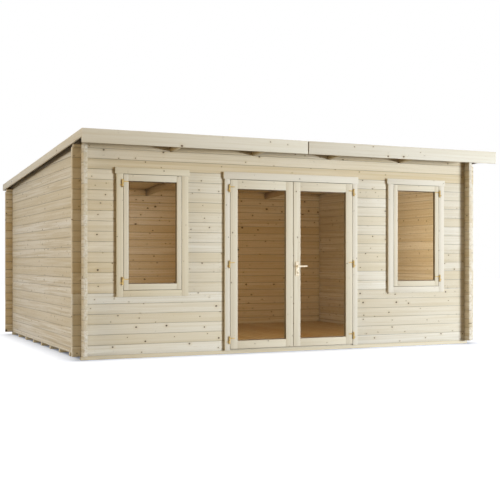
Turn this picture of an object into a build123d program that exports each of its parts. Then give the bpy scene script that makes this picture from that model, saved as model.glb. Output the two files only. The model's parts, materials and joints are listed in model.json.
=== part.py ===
from build123d import *
from math import sqrt
import os

# Log cabin with a pent roof, glazed double doors and two windows, in millimetres.
# X runs along the front to the right, Y from the front to the back, Z up.
# The origin is on the ground under the middle of the roof.

# Walls of notched logs
log_thickness = 44
course = 114
log_end = 100
wall_width = 5160
wall_depth = 3990
front_courses = 20
fall_courses = 2
header_courses = 2
sill_courses = 6
edge_chamfer = 3
seam = 0.3
top_log_stub = 34
least_wedge = 12

# Bearers and floor
bearer_height = 42
bearer_width = 60
bearer_count = 9
floor_thickness = 18
floor_margin = 0.5

# Roof
rafter_width = 44
rafter_depth = 95
rafter_count = 4
deck_thickness = 18
felt_thickness = 3
front_overhang = 448
back_overhang = 140
side_overhang = 108
fascia_height = 150
back_fascia_height = 90
fascia_thickness = 20
fascia_joint = 13
fascia_joint_place = -18
barge_rise = 33
barge_thickness = 20
roof_lip = 8
barge_clearance = 2

# Windows and doors alike
trim_thickness = 28
trim_overhang = 14
sash_thickness = 40
pane_thickness = 4
pane_seat = 8
pane_play = 0.3
bead_width = 20

# Windows
window_place_share = 0.542
window_opening = 750
window_jamb = 30
window_head = 45
window_sill = 30
window_trim = 79
window_head_trim = 70
window_sill_trim = 71
window_gap = 4
window_stile = 57
window_top_rail = 72
window_bottom_rail = 68
window_hinge_inset = 100

# Double door
door_opening = 1712
door_jamb = 30
door_head = 58
door_trim_width = 66
door_head_trim = 83
leaf_gap = 5
meeting_gap = 7
door_stile = 93
door_top_rail = 106
door_bottom_rail = 93
threshold_height = 10
threshold_nose = 18
door_hinge_inset = 105
door_hinge_count = 3

# Hinges
barrel_radius = 9
barrel_height = 80
barrel_split = 1
barrel_standoff = 1
hinge_pin_radius = 4
hinge_pin_play = 0.05
hinge_pin_share = 0.4
hinge_pin_end = 1
barrel_sides = 16
hinge_arm_length = 50
frame_arm_length = 26
hinge_arm_height = 12
hinge_arm_thickness = 5

# Lever handle
lever_height = 963
plate_width = 44
plate_height = 175
plate_thickness = 8
plate_corner = 6
plate_below_share = 0.67
keyhole_drop = 75
keyhole_width = 7
keyhole_height = 20
spindle_radius = 4
spindle_play = 2
neck_radius = 8
lever_reach = 38
lever_length = 122
lever_root = 22
lever_tip = 16
lever_thickness = 12
lever_play = 0.3

overrun = 20

# Places that follow from the sizes
half_width = wall_width / 2
side_inner = half_width - log_thickness
log_half_length = half_width + log_end
roof_half_width = half_width + side_overhang
roof_depth = front_overhang + wall_depth + back_overhang
front_edge = -roof_depth / 2
back_edge = roof_depth / 2
front_face = front_edge + front_overhang
front_inner = front_face + log_thickness
back_face = front_face + wall_depth
back_inner = back_face - log_thickness
wall_base = bearer_height
back_courses = front_courses - fall_courses
opening_courses = front_courses - header_courses
front_top = wall_base + front_courses * course
back_top = wall_base + back_courses * course
sill_top = wall_base + sill_courses * course
opening_top = wall_base + opening_courses * course
half_course = course / 2
quarter_course = course / 4
fall = (front_top - back_top) / (back_face - front_inner)
plumb = sqrt(1 + fall**2)


def rafter_seat(y):
    """Height of the rafters' undersides at a depth."""
    return front_top - (y - front_inner) * fall


def deck_bottom(y):
    """Height of the roof deck's underside at a depth."""
    return rafter_seat(y) + rafter_depth * plumb


def deck_top(y):
    """Height of the roof deck's upper face at a depth."""
    return deck_bottom(y) + deck_thickness * plumb


def edge_top(y):
    """Height of the upper edge of the boards round the roof at a depth."""
    return deck_top(y) + roof_lip


def board(x_span, y_span, z_span, mode=Mode.ADD):
    """Adds a straight board between the given limits to the part at hand."""
    middle = tuple(sum(span) / 2 for span in (x_span, y_span, z_span))
    sizes = [span[1] - span[0] for span in (x_span, y_span, z_span)]
    with Locations(middle):
        Box(*sizes, mode=mode)


def overlaps(span, others):
    """The stretches of a height that other stretches cover."""
    shared = [(max(span[0], lo), min(span[1], hi)) for lo, hi in others]
    return [(lo, hi) for lo, hi in shared if hi - lo > seam]


def opened(stretch, span):
    """A notch's height, run past the log's face where it opens through it."""
    low = stretch[0] - overrun if stretch[0] <= span[0] else stretch[0]
    high = stretch[1] + overrun if stretch[1] >= span[1] else stretch[1]
    return (low, high)


def slab(x_span, y_span, lower, upper):
    """A sloping board whose lower and upper faces follow the given heights."""
    with BuildPart() as body:
        with BuildSketch(Plane.YZ.offset(x_span[0])):
            with BuildLine():
                Polyline(
                    (y_span[0], lower(y_span[0])),
                    (y_span[1], lower(y_span[1])),
                    (y_span[1], upper(y_span[1])),
                    (y_span[0], upper(y_span[0])),
                    close=True,
                )
            make_face()
        extrude(amount=x_span[1] - x_span[0])
    return body.part


# Courses of the walls, and the cores that are left where two walls cross
front_spans = [(wall_base + i * course, wall_base + (i + 1) * course) for i in range(front_courses)]
back_spans = front_spans[:back_courses]
side_spans = [(wall_base, wall_base + half_course)]
while side_spans[-1][1] + least_wedge < deck_bottom(front_face - log_end):
    side_spans.append((side_spans[-1][1], side_spans[-1][1] + course))
front_cores = [(lo + quarter_course, hi - quarter_course) for lo, hi in front_spans]
front_cores.append((front_top, front_top + half_course))
back_cores = front_cores[:back_courses] + [(back_top, back_top + half_course)]
side_cores = [(wall_base, wall_base + quarter_course)]
side_cores += [(lo + quarter_course, hi - quarter_course) for lo, hi in side_spans[1:]]
crossing = half_width - log_thickness / 2


def cross_log(x_span, y_face, z_span):
    """A log of the front or back wall, notched where it meets a side wall."""
    with BuildPart() as log:
        with BuildSketch(Plane.YZ.offset(x_span[0])) as section:
            with Locations((y_face + log_thickness / 2, (z_span[0] + z_span[1] - seam) / 2)):
                Rectangle(log_thickness, z_span[1] - z_span[0] - seam)
            chamfer(section.vertices().group_by(Axis.Y)[-1], edge_chamfer)
        extrude(amount=x_span[1] - x_span[0])
        for place in (-crossing, crossing):
            if x_span[0] < place < x_span[1]:
                notch = (place - log_thickness / 2 - seam, place + log_thickness / 2 + seam)
                depth = (y_face - overrun, y_face + log_thickness + overrun)
                for stretch in overlaps(z_span, side_cores):
                    board(notch, depth, opened(stretch, z_span), Mode.SUBTRACT)
    return log.part


def side_log(z_span):
    """A log of the left wall, notched at both crossings and cut to the roof where it meets it."""
    start = front_face - log_end
    end = back_face + log_end
    if deck_bottom(end) < z_span[0] + least_wedge:
        end = front_inner + (deck_bottom(front_inner) - z_span[0] - least_wedge) / fall
    facing_back = Plane(origin=(0, start, 0), x_dir=(-1, 0, 0), z_dir=(0, 1, 0))
    under_roof = Plane(origin=(0, front_inner, deck_bottom(front_inner) - seam), z_dir=(0, fall, 1))
    with BuildPart() as log:
        with BuildSketch(facing_back) as section:
            with Locations((crossing, (z_span[0] + z_span[1] - seam) / 2)):
                Rectangle(log_thickness, z_span[1] - z_span[0] - seam)
            chamfer(section.vertices().group_by(Axis.Y)[-1], edge_chamfer)
        extrude(amount=end - start)
        if z_span[1] > deck_bottom(end) - seam:
            split(bisect_by=under_roof, keep=Keep.BOTTOM)
        width = (-half_width - overrun, -side_inner + overrun)
        for face, cores in ((front_face, front_cores), (back_face - log_thickness, back_cores)):
            notch = (face - seam, face + log_thickness + seam)
            for stretch in overlaps(z_span, cores):
                board(width, notch, opened(stretch, z_span), Mode.SUBTRACT)
    return log.part


# Rafters, evenly spaced between the side walls' middles
rafter_pitch = 2 * crossing / (rafter_count + 1)
rafter_places = [-crossing + (i + 1) * rafter_pitch for i in range(rafter_count)]


def top_log(y_face, wall_top):
    """The log under the roof, cut to its slope and parted where the rafters pass."""
    depth = (y_face - overrun, y_face + log_thickness + overrun)
    half_length = min(log_half_length, roof_half_width - barge_thickness - barge_clearance)
    log = slab(
        (-half_length, half_length),
        (y_face, y_face + log_thickness),
        lambda y: wall_top,
        lambda y: deck_bottom(y) - seam,
    )
    above = deck_bottom(y_face) + overrun
    with BuildPart() as top:
        add(log)
        for side in (-1, 1):
            core = sorted((side * (side_inner - seam), side * (half_length + overrun)))
            stub = sorted((side * half_width, side * (half_length + overrun)))
            board(core, depth, (wall_top + half_course - seam, above), Mode.SUBTRACT)
            board(stub, depth, (wall_top + top_log_stub, above), Mode.SUBTRACT)
        for place in rafter_places:
            slot = (place - rafter_width / 2 - seam, place + rafter_width / 2 + seam)
            board(slot, depth, (wall_top - overrun, above), Mode.SUBTRACT)
    return top.part


def wall(logs):
    """Joins the logs of one stretch of wall, which lie a seam apart, in one part."""
    with BuildPart() as stack:
        add(logs)
    return stack.part


# Bearers and floor
bearer_pitch = (wall_depth - bearer_width) / (bearer_count - 1)
with BuildPart() as bearers:
    for i in range(bearer_count):
        bearer_front = front_face + i * bearer_pitch
        board(
            (-half_width, half_width),
            (bearer_front, bearer_front + bearer_width),
            (0, bearer_height),
        )

with BuildPart() as floor:
    board(
        (-side_inner + floor_margin, side_inner - floor_margin),
        (front_inner + floor_margin, back_inner - floor_margin),
        (wall_base, wall_base + floor_thickness),
    )

# Front wall, in stretches beside, between and over the openings
door_half_opening = door_opening / 2
window_offset = door_half_opening + window_place_share * (side_inner - door_half_opening)
window_near = window_offset - window_opening / 2
window_far = window_offset + window_opening / 2
low_spans = front_spans[:sill_courses]
mid_spans = front_spans[sill_courses:opening_courses]
high_spans = front_spans[opening_courses:]
to_door = (-log_half_length, -door_half_opening)
to_window = (-log_half_length, -window_far)
pier = (-window_near, -door_half_opening)
whole = (-log_half_length, log_half_length)
front_low_left = wall([cross_log(to_door, front_face, span) for span in low_spans])
front_corner_left = wall([cross_log(to_window, front_face, span) for span in mid_spans])
front_pier_left = wall([cross_log(pier, front_face, span) for span in mid_spans])
front_header = wall([cross_log(whole, front_face, span) for span in high_spans])
front_top_log = top_log(front_face, front_top)

# Back and side walls
back_logs = wall([cross_log(whole, back_inner, span) for span in back_spans])
back_top_log = top_log(back_inner, back_top)
left_logs = wall([side_log(span) for span in side_spans])

# Roof
under_boards = (front_edge + fascia_thickness, back_edge - fascia_thickness)
between_barges = (-roof_half_width + barge_thickness, roof_half_width - barge_thickness)
rafter_slabs = [
    slab(
        (place - rafter_width / 2, place + rafter_width / 2),
        under_boards,
        rafter_seat,
        lambda y: deck_bottom(y) - seam,
    )
    for place in rafter_places
]
rafters = wall(rafter_slabs)
roof_deck = slab(between_barges, under_boards, deck_bottom, deck_top)
roof_felt = slab(between_barges, under_boards, deck_top, lambda y: deck_top(y) + felt_thickness * plumb)
left_bargeboard = slab(
    (-roof_half_width, -roof_half_width + barge_thickness),
    under_boards,
    lambda y: rafter_seat(y) + barge_rise,
    edge_top,
)

fascia_top = edge_top(front_edge)
with BuildPart() as left_fascia:
    board(
        (-roof_half_width, fascia_joint_place - fascia_joint / 2),
        (front_edge, front_edge + fascia_thickness),
        (fascia_top - fascia_height, fascia_top),
    )
with BuildPart() as right_fascia:
    board(
        (fascia_joint_place + fascia_joint / 2, roof_half_width),
        (front_edge, front_edge + fascia_thickness),
        (fascia_top - fascia_height, fascia_top),
    )

back_fascia_top = edge_top(back_edge - fascia_thickness)
with BuildPart() as back_fascia:
    board(
        (-roof_half_width, roof_half_width),
        (back_edge - fascia_thickness, back_edge),
        (back_fascia_top - back_fascia_height, back_fascia_top),
    )

# Left window: trim, frame with stop beads, sash and pane
trim_face = front_face - trim_thickness
sash_back = trim_face + sash_thickness
pane_front = trim_face + (sash_thickness - pane_thickness) / 2
window_middle = -window_offset
jamb_half = window_opening / 2 - window_jamb
sash_half = jamb_half - window_gap
trim_half = jamb_half + window_trim
window_low = sill_top + window_sill
window_high = opening_top - window_head
sash_low = window_low + window_gap
sash_high = window_high - window_gap
on_wall = (trim_face, front_face)
in_wall = (front_face, front_inner)


def about(middle, inner, outer):
    """The spans on both sides of a middle, from an inner to an outer distance."""
    return [(middle - outer, middle - inner), (middle + inner, middle + outer)]


with BuildPart() as left_window_trim:
    for span in about(window_middle, jamb_half, trim_half):
        board(span, on_wall, (window_low - window_sill_trim, window_high - seam))
    board(
        (window_middle - trim_half - trim_overhang, window_middle + trim_half + trim_overhang),
        on_wall,
        (window_high, window_high + window_head_trim),
    )
    board(
        (window_middle - jamb_half + seam, window_middle + jamb_half - seam),
        on_wall,
        (window_low - window_sill_trim, window_low),
    )

with BuildPart() as left_window_frame:
    frame_half = window_opening / 2 - seam
    behind_sash = (sash_back + seam, front_inner)
    for span in about(window_middle, jamb_half, frame_half):
        board(span, in_wall, (window_low + seam, window_high - seam))
    for heights in ((sill_top + seam, window_low), (window_high, opening_top - seam)):
        board((window_middle - frame_half, window_middle + frame_half), in_wall, heights)
    for span in about(window_middle, jamb_half - bead_width, jamb_half - seam):
        board(span, behind_sash, (window_low + seam, window_high - seam))
    bead_half = jamb_half - bead_width - seam
    for heights in (
        (window_low + seam, window_low + bead_width),
        (window_high - bead_width, window_high - seam),
    ):
        board((window_middle - bead_half, window_middle + bead_half), behind_sash, heights)


def glazed_frame(x_span, z_span, stile, top_rail, bottom_rail):
    """Two stiles with rails between them, grooved for a pane, and the pane's limits."""
    through = (trim_face, sash_back)
    rail_span = (x_span[0] + stile + seam, x_span[1] - stile - seam)
    pane = (
        (x_span[0] + stile - pane_seat, x_span[1] - stile + pane_seat),
        (pane_front, pane_front + pane_thickness),
        (z_span[0] + bottom_rail - pane_seat, z_span[1] - top_rail + pane_seat),
    )
    with BuildPart() as frame:
        board((x_span[0], x_span[0] + stile), through, z_span)
        board((x_span[1] - stile, x_span[1]), through, z_span)
        board(rail_span, through, (z_span[0], z_span[0] + bottom_rail))
        board(rail_span, through, (z_span[1] - top_rail, z_span[1]))
        board(*[(lo - pane_play, hi + pane_play) for lo, hi in pane], Mode.SUBTRACT)
    return frame.part, pane


left_window_sash, left_window_pane = glazed_frame(
    (window_middle - sash_half, window_middle + sash_half),
    (sash_low, sash_high),
    window_stile,
    window_top_rail,
    window_bottom_rail,
)
with BuildPart() as left_window_glass:
    board(*left_window_pane)

# Door surround: trim, frame with stop beads, threshold
door_half = door_half_opening - door_jamb
door_trim_half = door_half + door_trim_width
door_high = opening_top - door_head
threshold_top = wall_base + threshold_height
leaf_low = threshold_top + leaf_gap
leaf_high = door_high - leaf_gap

with BuildPart() as door_trim:
    for span in about(0, door_half, door_trim_half):
        board(span, on_wall, (wall_base, door_high - seam))
    board(
        (-door_trim_half - trim_overhang, door_trim_half + trim_overhang),
        on_wall,
        (door_high, door_high + door_head_trim),
    )

with BuildPart() as door_frame:
    frame_half = door_half_opening - seam
    behind_leaf = (sash_back + leaf_gap, front_inner)
    for span in about(0, door_half, frame_half):
        board(span, in_wall, (wall_base, door_high - seam))
    board((-frame_half, frame_half), in_wall, (door_high, opening_top - seam))
    for span in about(0, door_half - bead_width, door_half - seam):
        board(span, behind_leaf, (threshold_top + seam, door_high - seam))
    bead_half = door_half - bead_width - seam
    board((-bead_half, bead_half), behind_leaf, (door_high - bead_width, door_high - seam))

with BuildPart() as door_threshold:
    board(
        (-door_half + seam, door_half - seam),
        (front_face - threshold_nose, front_inner),
        (wall_base, threshold_top),
    )

# Door leaves
left_leaf = (-door_half + leaf_gap, -meeting_gap / 2)
left_door_frame, left_door_pane = glazed_frame(
    left_leaf,
    (leaf_low, leaf_high),
    door_stile,
    door_top_rail,
    door_bottom_rail,
)
with BuildPart() as left_door_glass:
    board(*left_door_pane)
with BuildPart() as right_door_glass:
    mirror(left_door_glass.part, about=Plane.YZ)

# Hinges: a leaf half above a frame half, in front of the trim's inner edge
hinge_y = trim_face - barrel_standoff - barrel_radius
half_barrel = (barrel_height - barrel_split) / 2
hinge_pin_length = barrel_height * hinge_pin_share
on_face = (trim_face - hinge_arm_thickness, trim_face)
off_face = (trim_face - hinge_arm_thickness - barrel_standoff, trim_face - barrel_standoff)


def half_hinge(x, low, arm_span, neck_span):
    """Half a barrel that stands on a height, an arm on the leaf or the trim and a neck between them."""
    arm_middle = low + half_barrel / 2
    heights = (arm_middle - hinge_arm_height / 2, arm_middle + hinge_arm_height / 2)
    with BuildPart() as half:
        with BuildSketch(Plane.XY.offset(low)):
            with Locations((x, hinge_y)):
                RegularPolygon(barrel_radius, barrel_sides)
        extrude(amount=half_barrel)
        board(arm_span, on_face, heights)
        board(neck_span, off_face, heights)
    return half.part


def upper_half(x, gap, z):
    """The upper half of a hinge, on the leaf beyond the gap."""
    leaf_edge = x + barrel_radius + gap
    arm_end = leaf_edge + hinge_arm_length
    return half_hinge(x, z + barrel_split / 2, (leaf_edge, arm_end), (x, arm_end))


def lower_half(x, z):
    """The lower half of a hinge, on the trim."""
    arm_span = (x - frame_arm_length, x)
    return half_hinge(x, z - barrel_height / 2, arm_span, arm_span)


def bored_half(x, gap, z):
    """The leaf's half of a running hinge, with a bore for the pin."""
    solid = upper_half(x, gap, z)
    with BuildPart() as half:
        add(solid)
        with BuildSketch(Plane.XY.offset(z + barrel_split / 2)):
            with Locations((x, hinge_y)):
                Circle(hinge_pin_radius + hinge_pin_play)
        extrude(amount=hinge_pin_length, mode=Mode.SUBTRACT)
    return half.part


def pinned_half(x, z):
    """The frame's half of a running hinge, with the pin that stands out of it."""
    solid = lower_half(x, z)
    with BuildPart() as half:
        add(solid)
        with BuildSketch(Plane.XY.offset(z - barrel_split / 2)):
            with Locations((x, hinge_y)):
                Circle(hinge_pin_radius)
        extrude(amount=barrel_split + hinge_pin_length - hinge_pin_end)
    return half.part


door_hinge_x = -door_half - barrel_radius
hinge_first = leaf_low + door_hinge_inset
hinge_step = (leaf_high - leaf_low - 2 * door_hinge_inset) / (door_hinge_count - 1)
door_hinge_places = [hinge_first + i * hinge_step for i in range(door_hinge_count)]
left_door_hinges = wall([bored_half(door_hinge_x, leaf_gap, z) for z in door_hinge_places])
left_frame_hinges = wall([pinned_half(door_hinge_x, z) for z in door_hinge_places])

window_hinge_x = window_middle - jamb_half - barrel_radius
window_hinge_places = [sash_low + window_hinge_inset, sash_high - window_hinge_inset]
left_window_hinges = wall(
    [upper_half(window_hinge_x, window_gap, z) for z in window_hinge_places]
    + [lower_half(window_hinge_x, z) for z in window_hinge_places]
)

# Lever handle on the meeting stile of the right leaf
lever_x = meeting_gap / 2 + door_stile / 2
lever_z = leaf_low + lever_height
plate_middle = lever_z + plate_height * (1 - plate_below_share) - plate_height / 2


def handle_plate(face):
    """A plate on one face of the leaf, with its spindle hole and keyhole."""
    with BuildPart() as plate:
        with BuildSketch(face) as outline:
            with Locations((lever_x, plate_middle)):
                Rectangle(plate_width, plate_height)
            chamfer(outline.vertices(), plate_corner)
            with Locations((lever_x, lever_z)):
                RegularPolygon(spindle_radius + spindle_play, barrel_sides, mode=Mode.SUBTRACT)
            with Locations((lever_x, lever_z - keyhole_drop)):
                Rectangle(keyhole_width, keyhole_height, mode=Mode.SUBTRACT)
        extrude(amount=plate_thickness)
    return plate.part


outer_face = Plane(origin=(0, trim_face, 0), x_dir=(1, 0, 0), z_dir=(0, -1, 0))
inner_face = Plane(origin=(0, sash_back, 0), x_dir=(1, 0, 0), z_dir=(0, -1, 0))
outer_handle_plate = handle_plate(outer_face)
inner_handle_plate = handle_plate(inner_face.offset(-plate_thickness))

with BuildPart() as right_door_frame:
    mirror(left_door_frame, about=Plane.YZ)
    with BuildSketch(outer_face):
        with Locations((lever_x, lever_z)):
            RegularPolygon(spindle_radius + spindle_play, barrel_sides)
    extrude(amount=-sash_thickness, mode=Mode.SUBTRACT)


def grip(face):
    """A neck out from a plate and a flat grip that narrows to a round tip, on one face of the leaf."""
    with BuildPart() as half:
        with BuildSketch(face):
            with Locations((lever_x, lever_z)):
                Circle(neck_radius)
        extrude(amount=lever_reach)
        with BuildSketch(face.offset(lever_reach - lever_thickness)):
            with BuildLine():
                top = Line(
                    (lever_x - lever_root / 2, lever_z + lever_root / 2),
                    (lever_x + lever_length - lever_tip / 2, lever_z + lever_tip / 2),
                )
                nose = ThreePointArc(
                    top @ 1,
                    (lever_x + lever_length, lever_z),
                    (lever_x + lever_length - lever_tip / 2, lever_z - lever_tip / 2),
                )
                Line(nose @ 1, (lever_x - lever_root / 2, lever_z - lever_root / 2))
                Line((lever_x - lever_root / 2, lever_z - lever_root / 2), top @ 0)
            make_face()
        extrude(amount=lever_thickness)
    return half.part


outer_grip_face = outer_face.offset(plate_thickness + lever_play)
outer_grip = grip(outer_grip_face)
leaf_middle = Plane.XZ.offset(-(trim_face + sash_thickness / 2))
with BuildPart() as door_lever:
    add(outer_grip)
    mirror(outer_grip, about=leaf_middle)
    with BuildSketch(outer_grip_face):
        with Locations((lever_x, lever_z)):
            RegularPolygon(spindle_radius, barrel_sides)
    extrude(amount=-(sash_thickness + 2 * plate_thickness + 2 * lever_play))


def mirrored(part):
    """The same piece on the other side of the cabin's middle."""
    with BuildPart() as other:
        mirror(part, about=Plane.YZ)
    return other.part


pieces = {
    "bearers": bearers.part,
    "floor": floor.part,
    "front_low_logs_left": front_low_left,
    "front_low_logs_right": mirrored(front_low_left),
    "front_corner_logs_left": front_corner_left,
    "front_corner_logs_right": mirrored(front_corner_left),
    "front_pier_logs_left": front_pier_left,
    "front_pier_logs_right": mirrored(front_pier_left),
    "front_header_logs": front_header,
    "front_top_log": front_top_log,
    "back_wall_logs": back_logs,
    "back_top_log": back_top_log,
    "left_wall_logs": left_logs,
    "right_wall_logs": mirrored(left_logs),
    "rafters": rafters,
    "roof_deck": roof_deck,
    "roof_felt": roof_felt,
    "front_fascia_left": left_fascia.part,
    "front_fascia_right": right_fascia.part,
    "back_fascia": back_fascia.part,
    "left_bargeboard": left_bargeboard,
    "right_bargeboard": mirrored(left_bargeboard),
    "left_window_trim": left_window_trim.part,
    "left_window_frame": left_window_frame.part,
    "left_window_sash": left_window_sash,
    "left_window_glass": left_window_glass.part,
    "left_window_hinges": left_window_hinges,
    "right_window_trim": mirrored(left_window_trim.part),
    "right_window_frame": mirrored(left_window_frame.part),
    "right_window_sash": mirrored(left_window_sash),
    "right_window_glass": mirrored(left_window_glass.part),
    "right_window_hinges": mirrored(left_window_hinges),
    "door_trim": door_trim.part,
    "door_frame": door_frame.part,
    "door_threshold": door_threshold.part,
    "left_frame_hinges": left_frame_hinges,
    "right_frame_hinges": mirrored(left_frame_hinges),
    "left_door_frame": left_door_frame,
    "left_door_glass": left_door_glass.part,
    "left_door_hinges": left_door_hinges,
    "right_door_frame": right_door_frame.part,
    "right_door_glass": right_door_glass.part,
    "right_door_hinges": mirrored(left_door_hinges),
    "outer_handle_plate": outer_handle_plate,
    "inner_handle_plate": inner_handle_plate,
    "door_lever": door_lever.part,
}

os.makedirs("parts", exist_ok=True)
for name, piece in pieces.items():
    piece.label = name
    export_step(piece, f"parts/{name}.step")
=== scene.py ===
"""Looks of the log cabin: spruce, boards, felt, glazing, brass fittings, studio light and camera."""

import json
import logging
import math
import random
from collections.abc import Iterator
from dataclasses import dataclass, replace
from enum import Enum
from typing import Any

import bmesh
import bpy
import numpy as np
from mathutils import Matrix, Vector


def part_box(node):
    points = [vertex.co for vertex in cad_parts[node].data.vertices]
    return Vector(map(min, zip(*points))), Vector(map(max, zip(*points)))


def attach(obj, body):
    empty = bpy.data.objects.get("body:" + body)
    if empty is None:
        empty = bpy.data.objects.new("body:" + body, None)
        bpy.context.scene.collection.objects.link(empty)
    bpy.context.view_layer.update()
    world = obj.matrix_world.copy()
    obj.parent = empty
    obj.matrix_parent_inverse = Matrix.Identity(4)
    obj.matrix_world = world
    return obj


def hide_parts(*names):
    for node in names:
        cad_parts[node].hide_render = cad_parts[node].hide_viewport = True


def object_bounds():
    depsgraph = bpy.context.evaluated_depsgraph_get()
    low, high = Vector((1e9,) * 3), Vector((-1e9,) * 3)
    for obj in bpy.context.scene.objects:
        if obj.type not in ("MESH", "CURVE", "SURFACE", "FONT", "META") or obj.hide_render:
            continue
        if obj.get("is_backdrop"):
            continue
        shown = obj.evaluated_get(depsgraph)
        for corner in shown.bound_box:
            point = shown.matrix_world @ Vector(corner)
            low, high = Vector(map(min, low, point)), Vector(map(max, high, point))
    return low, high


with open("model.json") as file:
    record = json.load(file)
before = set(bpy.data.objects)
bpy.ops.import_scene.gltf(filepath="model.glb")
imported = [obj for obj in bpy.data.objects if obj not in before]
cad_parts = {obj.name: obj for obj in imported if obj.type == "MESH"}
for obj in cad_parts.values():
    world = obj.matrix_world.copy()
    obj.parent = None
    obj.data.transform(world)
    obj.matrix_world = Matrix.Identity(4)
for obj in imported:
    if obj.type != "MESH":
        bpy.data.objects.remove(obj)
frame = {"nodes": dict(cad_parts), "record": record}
CAD_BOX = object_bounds()

LOG = logging.getLogger("log_cabin")
BODY_OF = {node: body for body, nodes in frame["record"]["behaviour"]["bodies"].items() for node in nodes}
GRAIN = "grain_place"
SEED = "board_seed"
HALF = "board_half_size"
MILLIMETRE = 0.001
SHARP = math.radians(40)
NO_TURN = (0.0, 0.0, 0.0)
# Places of a Mix node's colour sockets, which share their names with its other sockets.
MIX_FIRST, MIX_SECOND, MIX_RESULT = 6, 7, 2
WHITE = (1.0, 1.0, 1.0)

Triple = tuple[float, float, float]
Colour = Triple
Mesh = bpy.types.Mesh
Socket = bpy.types.NodeSocket


class Slot(Enum):
    """Material slots of the record, passed along with the pieces."""

    LOGS = "logs"
    FRAMING = "framing"
    FLOOR = "floor_boards"
    FELT = "felt"
    ROOF_TRIM = "roof_trim"
    JOINERY = "joinery"
    BRASS = "brass"


def linear(red: int, green: int, blue: int) -> Colour:
    """Turns a colour as a screen shows it into the linear one that a shader takes.

    Args:
        red: Red from 0 to 255.
        green: Green from 0 to 255.
        blue: Blue from 0 to 255.

    Returns:
        The linear red, green and blue from 0 to 1.
    """
    shares = (channel / 255 for channel in (red, green, blue))
    return tuple(s / 12.92 if s <= 0.04045 else ((s + 0.055) / 1.055) ** 2.4 for s in shares)


def opaque(colour: Colour) -> tuple[float, float, float, float]:
    """Adds full cover to a colour."""
    return (*colour, 1.0)


@dataclass
class Wiring:
    """A node tree under construction, whose nodes are added and linked in one call each."""

    tree: bpy.types.NodeTree

    def add(self, kind: str, inputs: dict[Any, Any] | None = None, **settings: Any) -> bpy.types.Node:
        """Adds a node.

        Args:
            kind: Blender's name for the type of node.
            inputs: A value or a socket to link, for each input by its name or number.
            **settings: Values for the node's own properties.

        Returns:
            The new node.
        """
        node = self.tree.nodes.new(kind)
        for name, value in settings.items():
            setattr(node, name, value)
        self.feed(node, inputs or {})
        return node

    def feed(self, node: bpy.types.Node, inputs: dict[Any, Any]) -> None:
        """Links a node's inputs to sockets, or sets them to plain values.

        Args:
            node: The node.
            inputs: The socket to link or the value to set, for each input by its name or number.
        """
        for key, value in inputs.items():
            if isinstance(value, Socket):
                self.tree.links.new(value, node.inputs[key])
            else:
                node.inputs[key].default_value = value

    def math(self, operation: str, *terms: Any) -> Socket:
        """Adds an operation on numbers, by Blender's name for it."""
        return self.add("ShaderNodeMath", dict(enumerate(terms)), operation=operation).outputs[0]

    def times(self, first: Any, second: Any) -> Socket:
        """Multiplies two numbers."""
        return self.math("MULTIPLY", first, second)

    def vector_math(self, operation: str, *terms: Any) -> Socket:
        """Adds an operation on vectors, by Blender's name for it."""
        return self.add("ShaderNodeVectorMath", dict(enumerate(terms)), operation=operation).outputs[0]

    def split(self, vector: Socket) -> tuple[Socket, ...]:
        """Takes a vector apart into the sockets of its three numbers."""
        return tuple(self.add("ShaderNodeSeparateXYZ", {0: vector}).outputs)

    def join(self, *numbers: Any) -> Socket:
        """Makes a vector of up to three sockets or numbers."""
        return self.add("ShaderNodeCombineXYZ", dict(enumerate(numbers))).outputs[0]

    def ramp(self, value: Any, low: Any, high: Any, to_low: Any = 0.0, to_high: Any = 1.0) -> Socket:
        """Eases a number from the range between low and high to the one between to_low and to_high."""
        ends = {"Value": value, "From Min": low, "From Max": high, "To Min": to_low, "To Max": to_high}
        return self.add("ShaderNodeMapRange", ends, interpolation_type="SMOOTHSTEP").outputs[0]

    def blend(self, share: Any, first: Any, second: Any) -> Socket:
        """Mixes two colours.

        Args:
            share: Share of the second colour.
            first: Socket or colour.
            second: Socket or colour.

        Returns:
            The mixed colour's socket.
        """
        node = self.add("ShaderNodeMix", {"Factor": share}, data_type="RGBA", blend_type="MIX")
        first, second = (opaque(colour) if isinstance(colour, tuple) else colour for colour in (first, second))
        self.feed(node, {MIX_FIRST: first, MIX_SECOND: second})
        return node.outputs[MIX_RESULT]

    def noise(self, place: Socket, scale: float | Triple, detail: float) -> Socket:
        """Adds cloudy noise.

        Args:
            place: Socket of the place in the pattern.
            scale: Number of clouds in a metre, the same all round or one for each axis.
            detail: How many finer layers it has.

        Returns:
            The socket of its strength.
        """
        if isinstance(scale, tuple):
            place, scale = self.vector_math("MULTIPLY", place, scale), 1.0
        return self.add("ShaderNodeTexNoise", {"Vector": place, "Scale": scale, "Detail": detail}).outputs[0]

    def bump(self, height: Socket, strength: float, distance: float) -> Socket:
        """Turns a height into relief for a shader's Normal input."""
        return self.add("ShaderNodeBump", {"Strength": strength, "Distance": distance, "Height": height}).outputs[0]

    def attribute(self, name: str) -> bpy.types.Node:
        """Reads an attribute of the mesh."""
        return self.add("ShaderNodeAttribute", attribute_name=name)

    def place(self) -> Socket:
        """Gives the place in the piece's own space."""
        return self.add("ShaderNodeTexCoord").outputs["Object"]


def new_material(name: str) -> tuple[bpy.types.Material, Wiring, bpy.types.Node]:
    """Starts a material.

    Args:
        name: Its name.

    Returns:
        The material, its wiring and its shader node.
    """
    material = bpy.data.materials.new(name)
    material.use_nodes = True
    return material, Wiring(material.node_tree), material.node_tree.nodes["Principled BSDF"]


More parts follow.
